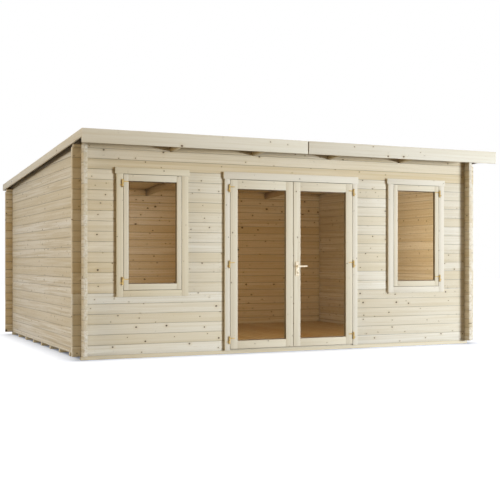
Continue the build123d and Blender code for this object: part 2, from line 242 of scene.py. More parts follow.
@dataclass(frozen=True)
class Finish:
    """A finish, made into a material at its first use."""

    name: str

    def material(self) -> bpy.types.Material:
        """Gives the finish as a material."""
        return bpy.data.materials.get(self.name) or self.build()

    def build(self) -> bpy.types.Material:
        """Builds the material.

        Returns:
            The material.
        """
        material, wiring, shader = new_material(self.name)
        wiring.feed(shader, self.inputs(wiring))
        return material

    def inputs(self, wiring: Wiring) -> dict[str, Any]:
        """Gives the values and sockets of the shader's inputs, by their names."""
        raise NotImplementedError


@dataclass(frozen=True)
class Spruce(Finish):
    """Planed spruce with year rings, long streaks and knots, which follows each board's own grain.

    Scales are clouds of noise in a metre along the grain, through the board and across it.
    """

    pale: Colour
    deep: Colour
    warm: Colour
    knot: Colour
    knots_kept: float = 0.6
    knot_spacing: float = 0.17
    knot_stretch: float = 0.8
    knot_least: float = 0.003
    knot_spread: float = 0.007
    knot_core: float = 0.65
    knot_rim: float = 1.25
    halo_reach: float = 4.5
    halo_depth: float = 0.38
    ring_width: float = 0.0042
    ring_depth: float = 0.20
    ring_sharpness: float = 2.5
    ring_sway: float = 0.05
    sway_scale: Triple = (0.9, 4.0, 4.0)
    knot_sway: float = 0.006
    pith_least: float = 0.035
    pith_spread: float = 0.09
    pith_side: float = 0.12
    streak_depth: float = 0.55
    streak_scale: Triple = (0.8, 45.0, 45.0)
    streak_ends: tuple[float, float] = (0.40, 0.68)
    fibre_depth: float = 0.10
    fibre_scale: Triple = (7.0, 420.0, 420.0)
    fibre_ends: tuple[float, float] = (0.35, 0.75)
    board_spread: float = 0.45
    cloud_share: float = 0.5
    cloud_scale: Triple = (1.5, 5.0, 5.0)
    boards_apart: tuple[float, float] = (61.0, 7.0)
    # Darkening along board edges: dust in the seams together with painted shade in them.
    joint_shade: float = 0.0
    joint_reach: float = 0.006
    joint_ends: tuple[float, float] = (0.001, 0.004)
    # Painted shade: an ambient occlusion node finds corners that other pieces close in, and their colour is darkened
    # towards the knot colour.
    painted_nook_shade: float = 0.85
    painted_shade_reach: float = 0.15
    painted_shade_closed: float = 0.05
    painted_shade_opening: float = 0.4
    painted_shade_samples: int = 4
    roughness: float = 0.6
    ring_gloss: float = 0.12
    specular: float = 0.3
    relief: float = 0.25
    relief_height: float = 0.8 * MILLIMETRE
    ring_relief: float = 0.5
    knot_relief: float = 0.8

    def inputs(self, wood: Wiring) -> dict[str, Any]:
        """Wires the wood.

        Args:
            wood: The material's wiring.

        Returns:
            The values and sockets of the shader's inputs.
        """
        place = wood.attribute(GRAIN).outputs["Vector"]
        seed = wood.attribute(SEED).outputs["Fac"]
        chances = wood.split(wood.add("ShaderNodeTexWhiteNoise", {"W": seed}, noise_dimensions="1D").outputs["Color"])
        along, through = self.boards_apart
        shift = wood.join(wood.times(seed, along), wood.times(chances[1], through), chances[2])
        own = wood.vector_math("ADD", place, shift)

        knots, halo = self.knots(wood, own)
        rings = self.rings(wood, place, own, chances, halo)
        streaks = wood.noise(own, self.streak_scale, 3.0)
        clouds = wood.noise(own, self.cloud_scale, 1.0)
        fibres = wood.noise(own, self.fibre_scale, 2.0)

        depth = wood.times(wood.ramp(streaks, *self.streak_ends), self.streak_depth)
        depth = wood.math("MULTIPLY_ADD", rings, self.ring_depth, depth)
        depth = wood.math("MULTIPLY_ADD", wood.ramp(fibres, *self.fibre_ends), self.fibre_depth, depth)
        age = wood.times(wood.math("MULTIPLY_ADD", clouds, self.cloud_share, chances[0]), self.board_spread)
        colour = wood.blend(depth, self.pale, self.deep)
        # Warm age, knot halos, seam dust with painted seam shade, knots, and painted shade in closed-in corners are
        # mixed in turn.
        for share, tone in ((age, self.warm), (wood.times(halo, self.halo_depth), self.warm),
                            (self.joints(wood, place), self.knot), (knots, self.knot), (self.paint_nook_shade(wood), self.knot)):
            colour = wood.blend(share, colour, tone)
        knotty = wood.math("MULTIPLY_ADD", knots, self.knot_relief, fibres)
        height = wood.math("MULTIPLY_ADD", rings, self.ring_relief, knotty)
        return {"Base Color": colour, "Specular IOR Level": self.specular,
                "Roughness": wood.ramp(rings, 0.0, 1.0, self.roughness, self.roughness - self.ring_gloss),
                "Normal": wood.bump(height, self.relief, self.relief_height)}

    def knots(self, wood: Wiring, own: Socket) -> tuple[Socket, Socket]:
        """Adds knots at random places along the boards.

        Args:
            wood: The material's wiring.
            own: Socket of the place in the board's own stretch of wood.

        Returns:
            The sockets of the knots themselves and of the darker wood around them.
        """
        along, _, across = wood.split(own)
        flat = wood.join(wood.times(along, self.knot_stretch), across)
        cells = wood.add("ShaderNodeTexVoronoi", {"Vector": flat, "Scale": 1 / self.knot_spacing},
                         voronoi_dimensions="2D")
        distance = wood.times(cells.outputs["Distance"], self.knot_spacing)
        kept, size, _ = wood.split(cells.outputs["Color"])
        present = wood.math("LESS_THAN", kept, self.knots_kept)
        radius = wood.math("MULTIPLY_ADD", wood.times(size, size), self.knot_spread, self.knot_least)
        core = wood.ramp(distance, wood.times(radius, self.knot_core), wood.times(radius, self.knot_rim), 1.0, 0.0)
        halo = wood.ramp(distance, radius, wood.times(radius, self.halo_reach), 1.0, 0.0)
        return wood.times(core, present), wood.times(halo, present)

    def joints(self, wood: Wiring, place: Socket) -> Socket:
        """Darkens the colour along a board's edges: dust in the seams together with painted shade in them.

        Args:
            wood: The material's wiring.
            place: Socket of the place from the board's middle.

        Returns:
            The socket of the darkening's share.
        """
        half = wood.attribute(HALF).outputs["Vector"]
        from_end, _, from_edge = wood.split(wood.vector_math("SUBTRACT", half, wood.vector_math("ABSOLUTE", place)))
        edge_darkening = wood.ramp(from_edge, 0.0, self.joint_reach, self.joint_shade, 0.0)
        return wood.times(edge_darkening, wood.ramp(from_end, *self.joint_ends))

    def paint_nook_shade(self, wood: Wiring) -> Socket:
        """Paints shade into the colour of corners that the pieces round them close in, found by an ambient occlusion
        node.
        """
        # Painted shade, read from an ambient occlusion node.
        near = wood.add("ShaderNodeAmbientOcclusion", {"Distance": self.painted_shade_reach}, samples=self.painted_shade_samples)
        return wood.ramp(near.outputs["AO"], self.painted_shade_closed, self.painted_shade_opening, self.painted_nook_shade, 0.0)

    def rings(self, wood: Wiring, place: Socket, own: Socket, chances: tuple[Socket, ...], halo: Socket) -> Socket:
        """Adds year rings round a pith that lies outside the board.

        Args:
            wood: The material's wiring.
            place: Socket of the place from the board's middle.
            own: Socket of the place in the board's own stretch of wood.
            chances: Sockets of the board's random numbers.
            halo: Socket of the wood around knots, which bends the rings.

        Returns:
            The socket of the rings' dark late wood.
        """
        _, thin, wide = wood.split(place)
        bend = wood.noise(own, self.sway_scale, 2.0)
        sway = wood.times(wood.math("SUBTRACT", bend, 0.5), self.ring_sway)
        sway = wood.math("MULTIPLY_ADD", halo, self.knot_sway, sway)
        back = wood.math("ADD", thin, wood.math("MULTIPLY_ADD", chances[1], self.pith_spread, self.pith_least))
        side = wood.math("ADD", wide, wood.times(wood.math("SUBTRACT", chances[2], 0.5), self.pith_side))
        radius = wood.vector_math("LENGTH", wood.join(wood.math("ADD", back, sway), side)).node.outputs["Value"]
        turn = wood.math("FRACT", wood.math("DIVIDE", radius, self.ring_width))
        return wood.math("POWER", turn, self.ring_sharpness)


@dataclass(frozen=True)
class Glass(Finish):
    """Clear float glass with faint ripples, which lets the light of the studio into the room."""

    name: str = "clear_glass"
    tint: Colour = (0.93, 0.96, 0.94)
    cover: float = 0.06
    roughness: float = 0.02
    bending: float = 1.5
    ripple: float = 0.04
    ripple_height: float = 2.0 * MILLIMETRE
    ripple_scale: float = 2.5

    def inputs(self, glass: Wiring) -> dict[str, Any]:
        """Wires the glass and gives the values and sockets of the shader's inputs."""
        ripples = glass.noise(glass.place(), self.ripple_scale, 1.0)
        return {"Base Color": opaque(self.tint), "Roughness": self.roughness, "IOR": self.bending,
                "Transmission Weight": 1.0, "Alpha": self.cover,
                "Normal": glass.bump(ripples, self.ripple, self.ripple_height)}


@dataclass(frozen=True)
class Brass(Finish):
    """Brass with tarnish in patches and faint scratches."""

    bright: Colour
    tarnish: Colour
    roughness: float = 0.18
    tarnish_roughness: float = 0.2
    tarnish_scale: float = 55.0
    tarnish_ends: tuple[float, float] = (0.45, 0.75)
    scratch: float = 0.05
    scratch_height: float = 0.3 * MILLIMETRE
    scratch_scale: Triple = (900.0, 900.0, 60.0)

    def inputs(self, brass: Wiring) -> dict[str, Any]:
        """Wires the brass.

        Args:
            brass: The material's wiring.

        Returns:
            The values and sockets of the shader's inputs.
        """
        place = brass.place()
        age = brass.ramp(brass.noise(place, self.tarnish_scale, 3.0), *self.tarnish_ends)
        scratches = brass.noise(place, self.scratch_scale, 1.0)
        return {"Base Color": brass.blend(age, self.bright, self.tarnish), "Metallic": 1.0,
                "Roughness": brass.ramp(age, 0.0, 1.0, self.roughness, self.roughness + self.tarnish_roughness),
                "Normal": brass.bump(scratches, self.scratch, self.scratch_height)}


@dataclass(frozen=True)
class Steel(Finish):
    """Bright zinc-plated steel of nails."""

    name: str = "plated_steel"
    bright: Colour = linear(176, 176, 172)
    dull: Colour = linear(112, 110, 104)
    metallic: float = 0.9
    spangle_scale: float = 260.0
    spangle_ends: tuple[float, float] = (0.35, 0.7)
    dulling_ends: tuple[float, float] = (0.3, 0.7)
    roughness_ends: tuple[float, float] = (0.35, 0.55)

    def inputs(self, steel: Wiring) -> dict[str, Any]:
        """Wires the steel and gives the values and sockets of the shader's inputs."""
        spangle = steel.noise(steel.place(), self.spangle_scale, 2.0)
        return {"Base Color": steel.blend(steel.ramp(spangle, *self.spangle_ends), self.bright, self.dull),
                "Metallic": self.metallic,
                "Roughness": steel.ramp(spangle, *self.dulling_ends, *self.roughness_ends)}


@dataclass(frozen=True)
class MineralFelt(Finish):
    """Roofing felt with a coat of crushed slate."""

    name: str = "mineral_felt"
    dark: Colour = linear(58, 60, 62)
    pale: Colour = linear(112, 114, 114)
    roughness: float = 0.92
    chip_scale: float = 420.0
    chip_share: float = 0.65
    chip_height: float = 0.4
    wear_scale: float = 1.6
    wear_share: float = 0.35
    relief: float = 0.5
    relief_height: float = 1.5 * MILLIMETRE

    def inputs(self, felt: Wiring) -> dict[str, Any]:
        """Wires the felt.

        Args:
            felt: The material's wiring.

        Returns:
            The values and sockets of the shader's inputs.
        """
        place = felt.place()
        grit = felt.add("ShaderNodeTexVoronoi", {"Vector": place, "Scale": self.chip_scale})
        chip, _, _ = felt.split(grit.outputs["Color"])
        wear = felt.noise(place, self.wear_scale, 4.0)
        share = felt.math("MULTIPLY_ADD", wear, self.wear_share, felt.times(chip, self.chip_share))
        height = felt.math("SUBTRACT", felt.times(chip, self.chip_height), grit.outputs["Distance"])
        return {"Base Color": felt.blend(share, self.dark, self.pale), "Roughness": self.roughness,
                "Normal": felt.bump(height, self.relief, self.relief_height)}


LOG_SPRUCE = Spruce("log_spruce", linear(231, 225, 211), linear(206, 193, 166), linear(206, 189, 154),
                    linear(66, 42, 22), knots_kept=0.62, knot_spacing=0.15, knot_least=0.0045, knot_spread=0.006,
                    board_spread=0.55, joint_shade=0.34, joint_reach=0.005)
# Painted shade: a darker, warmer copy of the log wood on the left corner, header and top logs stands in for the
# dimmer, warmer light there.
SHADED_LOG_SPRUCE = replace(LOG_SPRUCE, name="edge_log_spruce", pale=linear(227, 215, 192), deep=linear(201, 183, 148),
                      warm=linear(201, 179, 137))
SIDE_SPRUCE = replace(LOG_SPRUCE, name="side_log_spruce", pale=linear(240, 236, 227), deep=linear(199, 184, 156),
                      ring_depth=0.35, streak_depth=0.85, board_spread=0.65)
ROOM_SPRUCE = Spruce("room_spruce", linear(231, 222, 202), linear(194, 173, 136), linear(197, 173, 131),
                     linear(52, 32, 16), knots_kept=0.7, knot_spacing=0.16, knot_least=0.007, knot_spread=0.010,
                     streak_depth=0.95, ring_depth=0.3, board_spread=0.8, joint_shade=0.45, joint_reach=0.008)
JOINERY_SPRUCE = Spruce("joinery_spruce", linear(223, 212, 189), linear(201, 189, 162), linear(208, 195, 167),
                        linear(92, 63, 36), knots_kept=0.45, knot_spacing=0.16, knot_spread=0.006,
                        streak_depth=0.38, ring_depth=0.14, board_spread=0.28, roughness=0.5)
# Painted light: lit and shaded copies of the joinery wood. The darker, warmer one on the left window trim and the
# paler one on the right window and door trims stand in for the light growing brighter to the right.
SHADED_JOINERY = replace(JOINERY_SPRUCE, name="cream_joinery_spruce", pale=linear(222, 210, 184),
                        deep=linear(200, 186, 154), warm=linear(207, 192, 159))
LIT_JOINERY = replace(JOINERY_SPRUCE, name="pale_joinery_spruce", pale=linear(227, 218, 200),
                       deep=linear(206, 196, 174), warm=linear(212, 201, 178))
# Roof trim and framing take deeper painted shade in closed-in corners than the logs.
TRIM_SPRUCE = Spruce("roof_trim_spruce", linear(223, 217, 202), linear(201, 188, 160), linear(207, 192, 161),
                     linear(84, 56, 30), knots_kept=0.36, knot_spacing=0.2, knot_least=0.005, streak_depth=0.40,
                     board_spread=0.25, painted_nook_shade=1.0, painted_shade_reach=0.25, painted_shade_opening=0.75)
FRAMING_SPRUCE = Spruce("framing_spruce", linear(218, 204, 172), linear(186, 162, 118), linear(190, 164, 118),
                        linear(80, 50, 26), knots_kept=0.5, painted_nook_shade=1.0, painted_shade_reach=0.25, painted_shade_opening=0.75)
BEARER_SPRUCE = replace(FRAMING_SPRUCE, name="bearer_spruce", pale=linear(225, 216, 194), deep=linear(205, 188, 154),
                        warm=linear(208, 187, 146), painted_nook_shade=0.0)
FLOOR_SPRUCE = Spruce("floor_spruce", linear(214, 196, 158), linear(178, 148, 100), linear(184, 150, 98),
                      linear(60, 36, 18), knots_kept=0.6, board_spread=1.0, joint_shade=0.85, joint_reach=0.010,
                      roughness=0.42)
HANDLE_BRASS = Brass("polished_brass", linear(247, 235, 210), linear(212, 184, 134))
HINGE_BRASS = Brass("dull_brass", linear(224, 195, 132), linear(156, 118, 62), roughness=0.3)


def new_object(name: str, mesh: Mesh) -> bpy.types.Object:
    """Links a new object with a mesh to the scene.

    Args:
        name: The object's name.
        mesh: Its mesh.

    Returns:
        The object.
    """
    piece = bpy.data.objects.new(name, mesh)
    bpy.context.scene.collection.objects.link(piece)
    return piece


def settle(name: str, mesh: Mesh, node: str, slot: Slot, stands_in: bool = True) -> None:
    """Hands a finished piece to the frame.

    Args:
        name: The piece's name.
        mesh: Its mesh.
        node: The node whose body it rides on.
        slot: The record's slot for the piece; not used.
        stands_in: Whether it is shown in the node's place.
    """
    piece = new_object(name, mesh)
    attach(piece, BODY_OF[node])
    if stands_in:
        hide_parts(node)
    LOG.info("%s on %s, %d faces", piece.name, BODY_OF[node], len(mesh.polygons))


def eased_mesh(node: str, easing: float, steps: int) -> Mesh:
    """Copies a node's solids with their edges eased.

    Args:
        node: The node.
        easing: How far an edge is cut back on each side.
        steps: Faces across an eased edge.

    Returns:
        The new mesh.
    """
    merge, flat, corner = 0.02 * MILLIMETRE, math.radians(0.6), math.radians(25)
    shape = bmesh.new()
    shape.from_mesh(frame["nodes"][node].data)
    bmesh.ops.remove_doubles(shape, verts=shape.verts, dist=merge)
    bmesh.ops.dissolve_limit(shape, angle_limit=flat, verts=shape.verts, edges=shape.edges)
    edges = [edge for edge in shape.edges if edge.is_manifold and edge.calc_face_angle() > corner]
    bmesh.ops.bevel(shape, geom=edges, offset=easing, offset_type="OFFSET", segments=steps, profile=0.5,
                    affect="EDGES", clamp_overlap=True)
    mesh = bpy.data.meshes.new(f"{node}_eased")
    shape.to_mesh(mesh)
    shape.free()
    for name in [a.name for a in mesh.attributes if not (a.is_required or a.is_internal)]:
        mesh.attributes.remove(mesh.attributes[name])
    return mesh


def islands(mesh: Mesh) -> Iterator[list[int]]:
    """Finds the separate solids of a mesh.

    Args:
        mesh: The mesh.

    Yields:
        The numbers of one solid's vertices.
    """
    near: list[list[int]] = [[] for _ in mesh.vertices]
    for edge in mesh.edges:
        first, second = edge.vertices
        near[first].append(second)
        near[second].append(first)
    seen = [False] * len(near)
    for start in range(len(near)):
        if seen[start]:
            continue
        seen[start] = True
        group = [start]
        for vertex in group:
            for other in near[vertex]:
                if not seen[other]:
                    seen[other] = True
                    group.append(other)
        yield group


def give_grain(mesh: Mesh, key: str) -> None:
    """Stores each board's own grain: places along it, through it and across it from its middle, and a chance number.

    Args:
        mesh: A mesh whose separate solids are boards.
        key: Start of the random draws, so that they are the same each time.
    """
    places = np.empty(len(mesh.vertices) * 3, np.float32)
    mesh.vertices.foreach_get("co", places)
    places = places.reshape(-1, 3)
    grain = np.empty_like(places)
    seeds, halves = np.empty(len(places), np.float32), np.empty_like(places)
    draw = random.Random(key)
    for group in islands(mesh):
        low, high = places[group].min(0), places[group].max(0)
        through, across, along = np.argsort(high - low)
        grain[group] = (places[group] - (low + high) / 2)[:, [along, through, across]]
        seeds[group] = draw.random()
        halves[group] = (high - low)[[along, through, across]] / 2
    mesh.attributes.new(GRAIN, "FLOAT_VECTOR", "POINT").data.foreach_set("vector", grain.ravel())
    mesh.attributes.new(SEED, "FLOAT", "POINT").data.foreach_set("value", seeds)
    mesh.attributes.new(HALF, "FLOAT_VECTOR", "POINT").data.foreach_set("vector", halves.ravel())


@dataclass
class Timbers:
    """Timber nodes shown as planed boards with eased edges, each with its own grain."""

    nodes: tuple[str, ...]
    finish: Spruce
    slot: Slot
    easing: float = 1.5 * MILLIMETRE
    steps: int = 2

    def build(self) -> None:
        """Makes a piece for each node and dresses it."""
        for node in self.nodes:
            mesh = eased_mesh(node, self.easing, self.steps)
            give_grain(mesh, node)
            self.dress(mesh, node)

    def dress(self, mesh: Mesh, node: str) -> None:
        """Gives a node's timber its wood and hands it to the frame."""
        mesh.materials.append(self.finish.material())
        settle(f"{node}_timber", mesh, node, self.slot)


class ShapeTree(Wiring):
    """A Geometry Nodes tree with named inputs, which ends in realised instances and a material."""

    def __init__(self, name: str) -> None:
        """Starts an empty tree.

        Args:
            name: The tree's name.
        """
        super().__init__(bpy.data.node_groups.new(name, "GeometryNodeTree"))
        self.tree.interface.new_socket("Geometry", in_out="OUTPUT", socket_type="NodeSocketGeometry")
        self.start = self.tree.nodes.new("NodeGroupInput")
        self.keys: dict[str, str] = {}

    def take(self, kind: str, *names: str) -> list[Socket]:
        """Adds named inputs.

        Args:
            kind: Blender's name for their type.
            *names: Their names.

        Returns:
            The sockets that give their values inside the tree.
        """
        for name in names:
            socket = self.tree.interface.new_socket(name, in_out="INPUT", socket_type=f"NodeSocket{kind}")
            self.keys[name] = socket.identifier
        return [self.start.outputs[name] for name in names]

    def moved(self, part: bpy.types.Node, **how: Any) -> bpy.types.Node:
        """Moves, turns or stretches a part, by Translation, Rotation and Scale."""
        return self.add("GeometryNodeTransform", {"Geometry": part.outputs[0], **how})

    def spread(self, part: bpy.types.Node, points: bpy.types.Node, **how: Any) -> bpy.types.Node:
        """Sets a part on each of some points."""
        inputs = {"Points": points.outputs[0], "Instance": part.outputs[0], **how}
        return self.add("GeometryNodeInstanceOnPoints", inputs)

    def stored(self, part: bpy.types.Node, name: str, value: Socket, kind: str = "FLOAT_VECTOR",
               domain: str = "POINT") -> bpy.types.Node:
        """Stores an attribute on a part.

        Args:
            part: The part.
            name: The attribute's name.
            value: Socket of its value.
            kind: Blender's name for its type.
            domain: Blender's name for what carries it.

        Returns:
            The node that gives the part with the attribute.
        """
        return self.add("GeometryNodeStoreNamedAttribute",
                        {"Geometry": part.outputs[0], "Name": name, "Value": value}, data_type=kind, domain=domain)

    def close(self, part: bpy.types.Node) -> None:
        """Realises the instances, sets the material and ends the tree.

        Args:
            part: The node that gives the finished geometry.
        """
        solid = self.add("GeometryNodeRealizeInstances", {0: part.outputs[0]})
        (material,) = self.take("Material", "Material")
        dressed = self.add("GeometryNodeSetMaterial", {"Geometry": solid.outputs[0], "Material": material})
        self.add("NodeGroupOutput", {0: dressed.outputs[0]})

    def mesh(self, name: str, values: dict[str, Any]) -> Mesh:
        """Runs the tree.

        Args:
            name: Name of the new mesh.
            values: A value for each input.

        Returns:
            The result as a plain mesh.
        """
        carrier = new_object(f"{name}_carrier", bpy.data.meshes.new(f"{name}_empty"))
        modifier = carrier.modifiers.new("shape", "NODES")
        modifier.node_group = self.tree
        for key, value in values.items():
            modifier[self.keys[key]] = value
        graph = bpy.context.evaluated_depsgraph_get()
        mesh = bpy.data.meshes.new_from_object(carrier.evaluated_get(graph), preserve_all_data_layers=True,
                                               depsgraph=graph)
        mesh.name = name
        bpy.data.objects.remove(carrier)
        mesh.materials.clear()
        mesh.materials.append(values["Material"])
        mesh.polygons.foreach_set("material_index", [0] * len(mesh.polygons))
        return mesh


def laid_boards_tree() -> ShapeTree:
    """Builds the tree that lays boards or strips side by side.

    Returns:
        The tree. Its boards run along X and step along Y before they are turned and put in place.
    """
    tree = ShapeTree("laid_boards")
    length, width, thickness = tree.take("Float", "Length", "Width", "Thickness")
    rounding, pitch, tilt = tree.take("Float", "Rounding", "Pitch", "Tilt")
    count, seed = tree.take("Int", "Count", "Seed")
    (turn,), (place,) = tree.take("Rotation", "Turn"), tree.take("Vector", "Place")

    half = tree.times(length, 0.5)
    line = tree.add("GeometryNodeCurvePrimitiveLine", {"Start": tree.join(tree.times(half, -1.0)),
                                                       "End": tree.join(half)})
    outline = tree.add("GeometryNodeCurvePrimitiveQuadrilateral", {"Width": width, "Height": thickness})
    outline = tree.add("GeometryNodeFilletCurve", {"Curve": outline.outputs[0], "Radius": rounding, "Count": 2,
                                                   "Limit Radius": True}, mode="POLY")
    board = tree.add("GeometryNodeCurveToMesh", {"Curve": line.outputs[0], "Profile Curve": outline.outputs[0],
                                                 "Fill Caps": True})
    along, across, through = tree.split(tree.add("GeometryNodeInputPosition").outputs[0])
    halves = tree.vector_math("MULTIPLY", tree.join(length, thickness, width), (0.5, 0.5, 0.5))
    board = tree.stored(board, HALF, halves)
    board = tree.stored(board, GRAIN, tree.join(along, through, across))

    reach = tree.times(tree.math("SUBTRACT", count, 1.0), tree.times(pitch, -0.5))
    row = tree.add("GeometryNodeMeshLine", {"Count": count, "Start Location": tree.join(0.0, reach),
                                            "Offset": tree.join(0.0, pitch)})
    laid = tree.spread(board, row, Rotation=tree.join(tilt))
    chance = tree.add("FunctionNodeRandomValue", {"Seed": seed}, data_type="FLOAT")
    seeded = tree.stored(laid, SEED, chance.outputs[1], "FLOAT", "INSTANCE")
    solid = tree.add("GeometryNodeRealizeInstances", {0: seeded.outputs[0]})
    tree.close(tree.moved(solid, Translation=place, Rotation=turn))
    return tree


def nail_rows_tree() -> ShapeTree:
    """Builds the tree that sets rows of round nail heads.

    Returns:
        The tree. Its heads lie flat in X and Y, rows along X, before they are turned and put in place.
    """
    sides, crown_share = 10, 0.7
    tree = ShapeTree("nail_rows")
    radius, height, span_x, span_y = tree.take("Float", "Radius", "Height", "Row Length", "Rows Depth")
    in_row, rows = tree.take("Int", "Nails in Row", "Rows")
    (turn,), (place,) = tree.take("Rotation", "Turn"), tree.take("Vector", "Place")

    head = tree.add("GeometryNodeMeshCone", {"Vertices": sides, "Radius Top": tree.times(radius, crown_share),
                                             "Radius Bottom": radius, "Depth": height}, fill_type="NGON")
    grid = tree.add("GeometryNodeMeshGrid", {"Size X": span_x, "Size Y": span_y, "Vertices X": in_row,
                                             "Vertices Y": rows})
    tree.close(tree.moved(tree.spread(head, grid), Translation=place, Rotation=turn))
    return tree


def hinge_tree() -> ShapeTree:
    """Builds the tree of a row of equal hinge halves, one above another.

    Returns:
        The tree. A half is a turned barrel with a collar and a rounded end, and an arm that lies on the timber.
    """
    barrel_sides, cap_rings, arm_sides, tip_rings = 28, 12, 20, 10
    collar_girth, collar_height, collar_place, cap_girth, cap_height = 1.1, 0.08, 0.9, 0.94, 0.7
    tree = ShapeTree("hinge_halves")
    radius, height, end = tree.take("Float", "Barrel Radius", "Barrel Height", "End Side")
    reach, step = tree.take("Float", "Arm Reach", "Step")
    arm_size, arm_place, place = tree.take("Vector", "Arm Size", "Arm Place", "Place")
    (count,) = tree.take("Int", "Count")

    barrel = tree.add("GeometryNodeMeshCylinder", {"Vertices": barrel_sides, "Radius": radius, "Depth": height})
    far = tree.times(tree.times(height, 0.5), end)
    collar = tree.add("GeometryNodeMeshCylinder", {
        "Vertices": barrel_sides, "Radius": tree.times(radius, collar_girth),
        "Depth": tree.times(height, collar_height)})
    collar = tree.moved(collar, Translation=tree.join(0.0, 0.0, tree.times(far, collar_place)))
    cap = tree.add("GeometryNodeMeshUVSphere", {"Segments": barrel_sides, "Rings": cap_rings,
                                                "Radius": tree.times(radius, cap_girth)})
    cap = tree.moved(cap, Translation=tree.join(0.0, 0.0, far), Scale=(1.0, 1.0, cap_height))
    arm = tree.add("GeometryNodeMeshCylinder", {"Vertices": arm_sides, "Radius": 0.5, "Depth": 1.0})
    arm = tree.moved(arm, Rotation=(0.0, math.pi / 2, 0.0))
    arm = tree.moved(arm, Scale=arm_size,
                     Translation=tree.vector_math("ADD", arm_place, tree.join(tree.times(reach, 0.5))))
    tip = tree.add("GeometryNodeMeshUVSphere", {"Segments": arm_sides, "Rings": tip_rings, "Radius": 0.5})
    _, thick, tall = tree.split(arm_size)
    tip = tree.moved(tip, Scale=tree.join(tall, thick, tall),
                     Translation=tree.vector_math("ADD", arm_place, tree.join(reach)))
    half = tree.add("GeometryNodeJoinGeometry")
    for part in (barrel, collar, cap, arm, tip):
        tree.feed(half, {0: part.outputs[0]})
    row = tree.add("GeometryNodeMeshLine", {"Count": count, "Start Location": place,
                                            "Offset": tree.join(0.0, 0.0, step)})
    tree.close(tree.spread(half, row))
    return tree


def joined(name: str, meshes: list[Mesh]) -> Mesh:
    """Puts several meshes of one material into one.

    Args:
        name: Name of the new mesh.
        meshes: The meshes, which are removed.

    Returns:
        The new mesh.
    """
    shape = bmesh.new()
    for mesh in meshes:
        shape.from_mesh(mesh)
    whole = bpy.data.meshes.new(name)
    shape.to_mesh(whole)
    shape.free()
    whole.materials.append(meshes[0].materials[0])
    for mesh in meshes:
        bpy.data.meshes.remove(mesh)
    return whole


def soften(mesh: Mesh) -> None:
    """Shades a mesh smooth except at its sharp edges."""
    mesh.shade_smooth()
    mesh.set_sharp_from_angle(angle=SHARP)


@dataclass
class FloorBoards:
    """Floor of boards laid from front to back, nailed to the bearers."""

    tree: ShapeTree
    nails: ShapeTree
    finish: Spruce = FLOOR_SPRUCE
    board_width: float = 0.112
    gap: float = 1.6 * MILLIMETRE
    rounding: float = 2.5 * MILLIMETRE
    bearer_width: float = 0.060
    nail_radius: float = 2.6 * MILLIMETRE
    nail_height: float = 0.5 * MILLIMETRE

    def build(self) -> None:
        """Lays the boards in the floor's place and dresses them."""
        low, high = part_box("floor")
        size, middle = high - low, (low + high) / 2
        count = round(size.x / self.board_width)
        pitch = size.x / count
        mesh = self.tree.mesh("floor_boards", {
            "Length": size.y, "Width": pitch - self.gap, "Thickness": size.z, "Rounding": self.rounding,
            "Pitch": pitch, "Count": count, "Tilt": 0.0, "Seed": 3, "Turn": (0.0, 0.0, math.pi / 2),
            "Place": middle, "Material": self.finish.material()})
        settle("floor_boards", mesh, "floor", Slot.FLOOR)
        self.nailing(count, pitch)

    def nailing(self, count: int, pitch: float) -> None:
        """Nails each board to each bearer with two nails.

        Args:
            count: Number of boards.
            pitch: Distance between the middles of boards.
        """
        low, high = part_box("floor")
        first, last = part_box("bearers")
        bearers = eased_mesh("bearers", 0.0, 1)
        spaces = len(list(islands(bearers))) - 1
        bpy.data.meshes.remove(bearers)
        inner = (last.y - first.y - self.bearer_width) * (spaces - 2) / spaces
        mesh = self.nails.mesh("floor_nails", {
            "Radius": self.nail_radius, "Height": self.nail_height, "Row Length": (count - 0.5) * pitch,
            "Rows Depth": inner, "Nails in Row": 2 * count, "Rows": spaces - 1, "Turn": NO_TURN,
            "Place": Vector(((low.x + high.x) / 2, (first.y + last.y) / 2, high.z)),
            "Material": Steel().material()})
        settle("floor_nails", mesh, "floor", Slot.FLOOR, stands_in=False)


